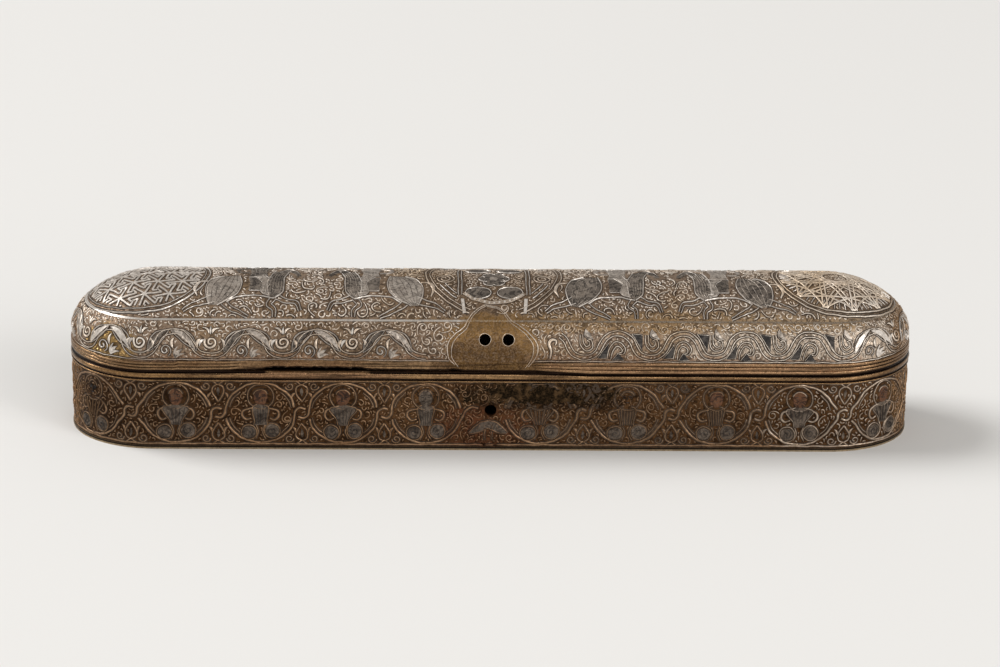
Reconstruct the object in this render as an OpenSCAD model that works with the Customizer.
// Round-ended brass pen box: a shallow case with a fitted inkwell end, and a vaulted lid
// that swings on two riveted hinges at the back. +X runs along the box, -Y is the front
// with the clasp holes, +Z is up. The origin is the middle of the base, on the table.

/* [Case] */
// Length over the rim bands
case_length = 300; // [240:1:380]
// Width over the rim bands
case_width = 62; // [58:0.5:76]
// Height of the mouth above the table
case_height = 29; // [27:0.5:40]
// Thickness of the sheet wall
wall_t = 1.6; // [1:0.1:2.2]
// Thickness of the soldered base plate
base_t = 1.2; // [0.8:0.1:2]
// How far the base plate's edge stands out of the wall
base_proud = 0.4; // [0.1:0.1:0.7]
// How far the rim bands stand out of the wall
rim_proud = 0.7; // [0.4:0.1:1.2]
// Height of the plain roll round the mouth
case_rim_h = 3; // [2:0.1:4]
// Height of the fine fillet under the roll
case_fillet_h = 0.8; // [0.4:0.1:1.2]

/* [Lid] */
// Gap at the seam when the lid is shut
seam_gap = 0.3; // [0.2:0.05:0.6]
// Thickness of the lid's sheet
lid_t = 1.5; // [1:0.1:2]
// Height of the upright part of the lid's side
lid_upright = 7.2; // [6.5:0.1:9]
// Height of the shoulder above the lid's edge
shoulder_h = 16.8; // [14:0.1:20]
// How far the shoulder lies inside the lid's side
shoulder_in = 5.4; // [4:0.1:8]
// Height of the crown above the lid's edge
crown_h = 25.6; // [23:0.1:32]
// Height of the reeded band round the lid's edge
lid_rim_h = 4.8; // [3:0.1:5.5]
// Number of reeds on that band
lid_reeds = 3; // [2:1:4]
// Width of the silver wire let into the shoulder
shoulder_wire_w = 0.8; // [0.4:0.1:1.2]
// Depth of the groove that holds the wire
shoulder_wire_d = 0.5; // [0.3:0.1:0.8]
// How far the wire stands out of its groove
shoulder_wire_proud = 0.1; // [0.05:0.05:0.3]

/* [Clasp holes] */
// Radius of the two rivet holes in the lid
lid_hole_r = 2; // [1:0.1:3]
// Distance between the two rivet holes
lid_hole_pitch = 8.2; // [7:0.1:14]
// Middle of the pair, to the right of the box's middle
lid_hole_x = 1.3; // [-5:0.1:5]
// Height of the pair above the lid's edge
lid_hole_h = 11.4; // [10.5:0.1:12.5]
// Radius of the staple hole in the case
staple_hole_r = 2.1; // [1:0.1:3]
// Place of the staple hole, to the right of the box's middle
staple_hole_x = -0.6; // [-5:0.1:5]
// Height of the staple hole above the table
staple_hole_h = 14.8; // [10:0.1:20]

/* [Hinges] */
// Distance between the middles of the two hinges
hinge_spread = 150; // [80:1:200]
// Width of a hinge leaf
leaf_w = 16; // [12:0.5:24]
// Thickness of a hinge leaf
leaf_t = 1; // [0.7:0.1:1.3]
// Length of the case's leaf below the knuckles, to the middle of its round tip
case_leaf_h = 10; // [8:0.5:12]
// Radius of that round tip
leaf_tip_r = 5.3; // [3:0.1:6]
// Distance of the case's upper rivets below the top of their leaf
case_rivet_drop = 3; // [2.5:0.1:5]
// Length of the lid's leaf above the knuckles
lid_leaf_h = 4.6; // [4:0.1:4.8]
// Radius of a knuckle
knuckle_r = 2; // [1.8:0.1:2.4]
// Width of the lid's knuckle, between the case's two
lid_knuckle_w = 6; // [4:0.5:8]
// Radius of the hinge pin
pin_r = 0.9; // [0.6:0.05:1.1]
// Radius of the pin's riveted ends
pin_head_r = 1.4; // [1.3:0.1:1.7]
// Thickness of the pin's riveted ends
pin_head_t = 0.6; // [0.4:0.1:1]
// Widest opening of the lid, in degrees, at the stop heels
lid_open = 110; // [100:1:115]
// Metal left between a rivet's head and the side of its leaf
leaf_margin = 0.7; // [0.4:0.1:1.5]
// Radius of a rivet's shank
rivet_r = 0.75; // [0.5:0.05:0.9]
// Radius of a rivet's outer head
rivet_head_r = 1.5; // [1.2:0.1:1.8]
// Height of a rivet's outer head
rivet_head_h = 0.7; // [0.5:0.1:1]
// Thickness of a rivet's peened inner head
rivet_peen_h = 0.5; // [0.3:0.1:0.8]

/* [Inkwell end] */
// Height of the fitting plate's upper face above the table
plate_top = 16.2; // [15:0.1:18]
// Thickness of the fitting plate and of the bulkhead under its edge
plate_t = 1.2; // [0.8:0.1:2]
// Outer radius of the inkwell cup
ink_r = 11; // [9:0.1:12]
// Depth of the inkwell below the plate
ink_depth = 12; // [9:0.5:13]
// Outer radius of a sand or paste pot
pot_r = 7; // [5:0.1:8.5]
// Depth of a pot below the plate
pot_depth = 11; // [8:0.5:13]
// Wall of the cup and the pots
cup_t = 1; // [0.7:0.1:1.4]
// Width of the flanges by which they hang on the plate
flange_w = 2.2; // [1.5:0.1:3]
// Thickness of the flanges
flange_t = 1; // [0.7:0.1:1.5]
// Space between flanges, and to the bulkhead
pot_gap = 2; // [1:0.1:4]
// Thickness of the ink lid's edge
ink_lid_edge = 0.9; // [0.7:0.1:1.2]
// Rise of the ink lid's dome above its edge
ink_lid_rise = 2.4; // [1.5:0.1:3]
// Radius of the ink lid's knob
knob_r = 2.2; // [1.5:0.1:3]
// Radius of the knob's neck and of its shank through the ink lid
knob_neck_r = 1.1; // [0.7:0.1:1.4]
// Length of the knob's neck, from the dome to the middle of the ball
knob_neck_h = 3.4; // [3:0.1:4]
// Radius of the ink lid's hinge knuckle
ink_knuckle_r = 1.5; // [1.3:0.05:1.8]
// Radius of the ink lid's hinge pin
ink_pin_r = 0.6; // [0.4:0.05:0.8]
// Radius of that pin's riveted ends
ink_pin_head_r = 1.2; // [1:0.05:1.3]
// Width of the ink lid's knuckle
ink_knuckle_w = 5; // [4:0.5:8]
// Width of each lug beside that knuckle
ink_lug_w = 2; // [1.5:0.1:3]

/* [Fits] */
// Radial clearance of a pin in its knuckle
pin_fit = 0.05; // [0.02:0.01:0.1]
// Radial clearance of a rivet or cup in its hole
hole_fit = 0.05; // [0.02:0.01:0.1]
// Side gap between knuckles, and running gap round them
run_gap = 0.35; // [0.3:0.05:0.5]

/* [Hidden] */
$fn = 96;
// Flats along each arc of the lid's outline, and how far a cut runs past a face
arc_steps = 10;
over = 1;
// Floor of a rim band, under its roll or reeds
band_floor = rim_proud / 3;

// Plan of the box: two half rounds joined by a straight span
half_w = case_width / 2;
wall_r = half_w - rim_proud;
span = case_length - case_width;
end_x = span / 2;
inner_r = wall_r - wall_t;

// Lid outline in one half section: upright, flank arc, then crown arc, tangent at the shoulder
lid_z = case_height + seam_gap;
lid_r = wall_r;
shoulder = [lid_r - shoulder_in, shoulder_h];
sag = crown_h - shoulder_h;
crown_r = (shoulder.x * shoulder.x + sag * sag) / (2 * sag);
crown_c = [0, crown_h - crown_r];
shoulder_n = (shoulder - crown_c) / crown_r;
flank_foot = [lid_r, lid_upright];
flank_d = flank_foot - shoulder;
flank_r = -(flank_d * flank_d) / (2 * (shoulder_n * flank_d));
flank_c = shoulder - flank_r * shoulder_n;
shoulder_a = atan2(shoulder_n.y, shoulder_n.x);
foot_a = atan2(flank_foot.y - flank_c.y, flank_foot.x - flank_c.x);

// Clasp rivet holes, square to the lid's flank
hole_a = asin((lid_hole_h - flank_c.y) / flank_r);
hole_at = flank_c + flank_r * [cos(hole_a), sin(hole_a)];

// Hinge axis, just outside the back wall at the seam
axis_y = wall_r + run_gap + knuckle_r;
axis_z = case_height + seam_gap / 2;
leaf_start = knuckle_r + run_gap;
case_knuckle_w = (leaf_w - lid_knuckle_w) / 2 - run_gap;
notch_w = leaf_w + 2 * (pin_head_t + run_gap);

// The lid leaf's lower outer corner, seen from the axis, and where it lies with the lid open
leaf_corner = [wall_r + leaf_t - axis_y, leaf_start];
corner_r = norm(leaf_corner);
corner_a = atan2(leaf_corner.y, leaf_corner.x) - lid_open;
heel_top = corner_r * sin(corner_a) - run_gap;
heel_out = corner_r * cos(corner_a);

// Rivets in a leaf: their middles across the leaf and along it
leaf_rivet_x = leaf_w / 2 - rivet_head_r - leaf_margin;
case_rivets = [[-leaf_rivet_x, case_rivet_drop], [leaf_rivet_x, case_rivet_drop], [0, case_leaf_h]];
lid_rivets = [[-leaf_rivet_x, lid_leaf_h / 2], [leaf_rivet_x, lid_leaf_h / 2]];

// Inkwell end: the cup at the middle of the end round, the pots beside it, then the bulkhead
ink_flange_r = ink_r + flange_w;
pot_flange_r = pot_r + flange_w;
pot_x = end_x - ink_flange_r - pot_gap - pot_flange_r;
pot_y = pot_flange_r + pot_gap / 2;
bulkhead_x = pot_x - pot_flange_r - pot_gap - plate_t;
ink_lid_r = ink_flange_r - run_gap;
ink_lid_z = plate_top + flange_t + run_gap;
ink_axis_y = ink_flange_r + ink_knuckle_r;
ink_axis_z = ink_lid_z + ink_knuckle_r;
ink_dome_r = ink_r - cup_t;
ink_dome_top = ink_lid_z + ink_lid_edge + ink_lid_rise;

brass = [0.62, 0.47, 0.28];
red_brass = [0.6, 0.38, 0.22];
silver = [0.72, 0.7, 0.67];

// Points of an arc, from one angle to another
function arc(c, r, a0, a1) = [
    for (i = [0 : arc_steps])
        let (a = a0 + (a1 - a0) * i / arc_steps)
        c + r * [cos(a), sin(a)]
];

// Points of a list but the first, and a list from last to first
function rest(v) = [for (i = [1 : len(v) - 1]) v[i]];
function reverse(v) = [for (i = [len(v) - 1 : -1 : 0]) v[i]];

// The lid's half outline from edge to crown, moved in by t
function lid_line(t) = concat(
    [[lid_r - t, 0]],
    arc(flank_c, flank_r - t, foot_a, shoulder_a),
    rest(arc(crown_c, crown_r - t, shoulder_a, 90))
);

// Plan of the box with its round ends of radius r
module plan(r) {
    for (s = [-1, 1]) translate([s * end_x, 0]) circle(r);
    square([span, 2 * r], center = true);
}

// Carries a half section round the plan: the section's x is the distance from the middle line
module round_plan() {
    for (s = [-1, 1])
        translate([s * end_x, 0, 0]) rotate([0, 0, -90 * s]) rotate_extrude(angle = 180) children();
    translate([-end_x, 0, 0]) rotate([90, 0, 90]) linear_extrude(span) {
        children();
        mirror([1, 0]) children();
    }
}

// Space that a hinge needs in the rim bands
module hinge_notches() {
    for (s = [-1, 1])
        translate([s * hinge_spread / 2 - notch_w / 2, 0, axis_z - case_height])
            cube([notch_w, case_width, 2 * case_height]);
}

module base_plate() {
    color(brass) linear_extrude(base_t) plan(wall_r + base_proud);
}

module case_wall() {
    color(brass) difference() {
        translate([0, 0, base_t]) linear_extrude(case_height - base_t) difference() {
            plan(wall_r);
            plan(inner_r);
        }
        translate([staple_hole_x, -inner_r + over, staple_hole_h]) rotate([90, 0, 0])
            cylinder(r = staple_hole_r, h = wall_t + 2 * over);
        for (s = [-1, 1]) translate([s * hinge_spread / 2, 0, axis_z - leaf_start])
            for (p = case_rivets) translate([p.x, 0, -p.y]) rivet_hole();
    }
}

// Half-round roll with a fine fillet under it
module case_rim() {
    roll_r = case_rim_h / 2;
    roll_z = case_height - roll_r;
    color(red_brass) difference() {
        round_plan() {
            intersection() {
                translate([wall_r + rim_proud - roll_r, roll_z]) circle(roll_r);
                translate([wall_r, roll_z - roll_r]) square([rim_proud, case_rim_h]);
            }
            translate([wall_r, case_height - case_rim_h - case_fillet_h])
                square([band_floor, case_rim_h + case_fillet_h]);
        }
        hinge_notches();
    }
}

// Hole through the back wall for a rivet at this height
module rivet_hole() {
    translate([0, inner_r - over, 0]) rotate([-90, 0, 0])
        cylinder(r = rivet_r + hole_fit, h = wall_t + lid_t + leaf_t + 2 * over);
}

// A leaf on the back wall and its knuckles. side is -1 for the case's leaf, which hangs
// below the axis, and 1 for the lid's. The heels on the case's knuckles stop the lid.
module hinge_leaf(side, length, tip_r, rivets) {
    knuckles = side < 0
        ? [[-leaf_w / 2, case_knuckle_w], [leaf_w / 2 - case_knuckle_w, case_knuckle_w]]
        : [[-lid_knuckle_w / 2, lid_knuckle_w]];
    difference() {
        union() {
            translate([0, wall_r, axis_z + side * leaf_start]) mirror([0, 0, side < 0 ? 1 : 0])
                rotate([90, 0, 0]) mirror([0, 0, 1]) linear_extrude(leaf_t) {
                    translate([-leaf_w / 2, 0]) square([leaf_w, length]);
                    if (tip_r > 0) translate([0, length]) circle(tip_r);
                }
            for (k = knuckles) {
                translate([k[0], axis_y, axis_z]) rotate([0, 90, 0]) cylinder(r = knuckle_r, h = k[1]);
                translate([k[0], wall_r, side < 0 ? axis_z - leaf_start - over : axis_z + seam_gap])
                    cube([k[1], leaf_t, leaf_start - seam_gap + over]);
                if (side < 0) translate([k[0], axis_y, axis_z - knuckle_r])
                    cube([k[1], heel_out, knuckle_r + heel_top]);
            }
        }
        translate([-leaf_w, axis_y, axis_z]) rotate([0, 90, 0]) cylinder(r = pin_r + pin_fit, h = 2 * leaf_w);
        translate([0, 0, axis_z + side * leaf_start])
            for (p = rivets) translate([p.x, 0, side * p.y]) rivet_hole();
    }
}

module case_hinge_leaf(s) {
    color(brass) translate([s * hinge_spread / 2, 0, 0])
        hinge_leaf(-1, case_leaf_h, leaf_tip_r, case_rivets);
}

module lid_hinge_leaf(s) {
    color(brass) translate([s * hinge_spread / 2, 0, 0])
        hinge_leaf(1, lid_leaf_h, 0, lid_rivets);
}

module hinge_pin(s) {
    color(red_brass) translate([s * hinge_spread / 2, axis_y, axis_z]) rotate([0, 90, 0]) {
        cylinder(r = pin_r, h = leaf_w, center = true);
        for (e = [-1, 1]) translate([0, 0, e * (leaf_w + pin_head_t) / 2])
            cylinder(r = pin_head_r, h = pin_head_t, center = true);
    }
}

// Shank through a leaf and a sheet, domed head outside, peened disc inside
module rivet(sheet_t) {
    dome_r = (rivet_head_r * rivet_head_r + rivet_head_h * rivet_head_h) / (2 * rivet_head_h);
    translate([0, wall_r, 0]) rotate([-90, 0, 0]) {
        translate([0, 0, -sheet_t]) cylinder(r = rivet_r, h = sheet_t + leaf_t);
        translate([0, 0, -sheet_t - rivet_peen_h]) cylinder(r = rivet_head_r, h = rivet_peen_h);
        intersection() {
            translate([0, 0, leaf_t + rivet_head_h - dome_r]) sphere(dome_r);
            translate([0, 0, leaf_t]) cylinder(r = rivet_head_r, h = rivet_head_h);
        }
    }
}

module case_hinge_rivets() {
    color(red_brass) for (s = [-1, 1]) for (p = case_rivets)
        translate([s * hinge_spread / 2 + p.x, 0, axis_z - leaf_start - p.y]) rivet(wall_t);
}

module lid_hinge_rivets() {
    color(red_brass) for (s = [-1, 1]) for (p = lid_rivets)
        translate([s * hinge_spread / 2 + p.x, 0, axis_z + leaf_start + p.y]) rivet(lid_t);
}

// Cross wall that closes the pen tray off from the space under the fitting plate
module bulkhead() {
    color(brass) translate([bulkhead_x, -inner_r, base_t])
        cube([plate_t, 2 * inner_r, plate_top - plate_t - base_t]);
}

module fitting_plate() {
    color(brass) translate([0, 0, plate_top - plate_t]) linear_extrude(plate_t) difference() {
        intersection() {
            plan(inner_r);
            translate([bulkhead_x, -case_width]) square([case_length, 2 * case_width]);
        }
        translate([end_x, 0]) circle(ink_r + hole_fit);
        for (s = [-1, 1]) translate([pot_x, s * pot_y]) circle(pot_r + hole_fit);
    }
}

// Open cup that hangs on the plate by its flange
module cup(r, depth) {
    translate([0, 0, plate_top]) difference() {
        union() {
            translate([0, 0, -depth]) cylinder(r = r, h = depth + flange_t);
            cylinder(r = r + flange_w, h = flange_t);
        }
        translate([0, 0, cup_t - depth]) cylinder(r = r - cup_t, h = depth + flange_t);
    }
}

module inkwell_cup() {
    color(red_brass) translate([end_x, 0, 0]) cup(ink_r, ink_depth);
}

module sand_pot() {
    color(brass) translate([pot_x, -pot_y, 0]) cup(pot_r, pot_depth);
}

module paste_pot() {
    color(brass) translate([pot_x, pot_y, 0]) cup(pot_r, pot_depth);
}

// Two lugs behind the cup, standing on the plate, that carry the ink lid's pin
module inkwell_hinge_lugs() {
    color(brass) translate([end_x, 0, 0]) difference() {
        for (s = [-1, 1]) translate([s * (ink_knuckle_w + ink_lug_w + 2 * run_gap) / 2, 0, 0]) {
            translate([0, ink_axis_y, ink_axis_z]) rotate([0, 90, 0])
                cylinder(r = ink_knuckle_r, h = ink_lug_w, center = true);
            translate([-ink_lug_w / 2, ink_flange_r, plate_top])
                cube([ink_lug_w, 2 * ink_knuckle_r, ink_axis_z - plate_top]);
        }
        ink_pin_bore();
    }
}

module ink_pin_bore() {
    translate([0, ink_axis_y, ink_axis_z]) rotate([0, 90, 0])
        cylinder(r = ink_pin_r + pin_fit, h = 2 * (ink_knuckle_w + 2 * ink_lug_w), center = true);
}

module inkwell_hinge_pin() {
    length = ink_knuckle_w + 2 * (ink_lug_w + run_gap);
    color(red_brass) translate([end_x, ink_axis_y, ink_axis_z]) rotate([0, 90, 0]) {
        cylinder(r = ink_pin_r, h = length, center = true);
        for (e = [-1, 1]) translate([0, 0, e * (length + pin_head_t) / 2])
            cylinder(r = ink_pin_head_r, h = pin_head_t, center = true);
    }
}

module lid_shell() {
    color(brass) difference() {
        translate([0, 0, lid_z]) round_plan() polygon(concat(lid_line(0), reverse(lid_line(lid_t))));
        for (s = [-1, 1]) translate([lid_hole_x + s * lid_hole_pitch / 2, -hole_at.x, lid_z + hole_at.y])
            rotate([90 - hole_a, 0, 0]) cylinder(r = lid_hole_r, h = 2 * (lid_t + over), center = true);
        for (s = [-1, 1]) translate([s * hinge_spread / 2, 0, axis_z + leaf_start])
            for (p = lid_rivets) translate([p.x, 0, p.y]) rivet_hole();
        wire_groove();
    }
}

// Section of the wire, across the lid's outline at the shoulder
module wire_section(out) {
    along = [-shoulder_n.y, shoulder_n.x];
    half = shoulder_wire_w / 2;
    polygon([for (c = [[-1, -shoulder_wire_d], [1, -shoulder_wire_d], [1, out], [-1, out]])
        shoulder + c[0] * half * along + c[1] * shoulder_n]);
}

module wire_groove() {
    translate([0, 0, lid_z]) round_plan() wire_section(over);
}

module shoulder_wire() {
    color(silver) translate([0, 0, lid_z]) round_plan() wire_section(shoulder_wire_proud);
}

// Band of half-round reeds soldered round the lid's edge
module lid_rim() {
    reed_h = lid_rim_h / lid_reeds;
    color(red_brass) difference() {
        translate([0, 0, lid_z]) round_plan() {
            translate([lid_r, 0]) square([band_floor, lid_rim_h]);
            for (i = [0 : lid_reeds - 1]) intersection() {
                translate([lid_r + rim_proud - reed_h / 2, (i + 0.5) * reed_h]) circle(reed_h / 2);
                translate([lid_r, i * reed_h]) square([rim_proud, reed_h]);
            }
        }
        hinge_notches();
    }
}

// Domed cover of the inkwell with its knuckle at the back
module inkwell_lid() {
    dome_r = (ink_dome_r * ink_dome_r + ink_lid_rise * ink_lid_rise) / (2 * ink_lid_rise);
    color(brass) translate([end_x, 0, 0]) difference() {
        union() {
            translate([0, 0, ink_lid_z]) cylinder(r = ink_lid_r, h = ink_lid_edge);
            intersection() {
                translate([0, 0, ink_dome_top - dome_r]) sphere(dome_r);
                translate([0, 0, ink_lid_z]) cylinder(r = ink_dome_r, h = ink_lid_edge + ink_lid_rise);
            }
            translate([0, ink_axis_y, ink_axis_z]) rotate([0, 90, 0])
                cylinder(r = ink_knuckle_r, h = ink_knuckle_w, center = true);
            translate([-ink_knuckle_w / 2, ink_dome_r, ink_lid_z])
                cube([ink_knuckle_w, ink_axis_y - ink_dome_r, ink_lid_edge]);
        }
        ink_pin_bore();
        translate([0, 0, ink_lid_z - over])
            cylinder(r = knob_neck_r + hole_fit, h = ink_lid_edge + ink_lid_rise + 2 * over);
    }
}

// Turned knob riveted through the ink lid
module inkwell_knob() {
    color(red_brass) translate([end_x, 0, 0]) {
        translate([0, 0, ink_lid_z]) cylinder(r = knob_neck_r, h = ink_dome_top + knob_neck_h - ink_lid_z);
        translate([0, 0, ink_dome_top + knob_neck_h]) sphere(knob_r);
    }
}

base_plate();
case_wall();
case_rim();
case_hinge_leaf(-1);  // case_hinge_leaf_left
case_hinge_leaf(1);  // case_hinge_leaf_right
hinge_pin(-1);  // hinge_pin_left
hinge_pin(1);  // hinge_pin_right
case_hinge_rivets();
bulkhead();
fitting_plate();
inkwell_cup();
sand_pot();
paste_pot();
inkwell_hinge_lugs();
inkwell_hinge_pin();
lid_shell();
lid_rim();
shoulder_wire();
lid_hinge_leaf(-1);  // lid_hinge_leaf_left
lid_hinge_leaf(1);  // lid_hinge_leaf_right
lid_hinge_rivets();
inkwell_lid();
inkwell_knob();
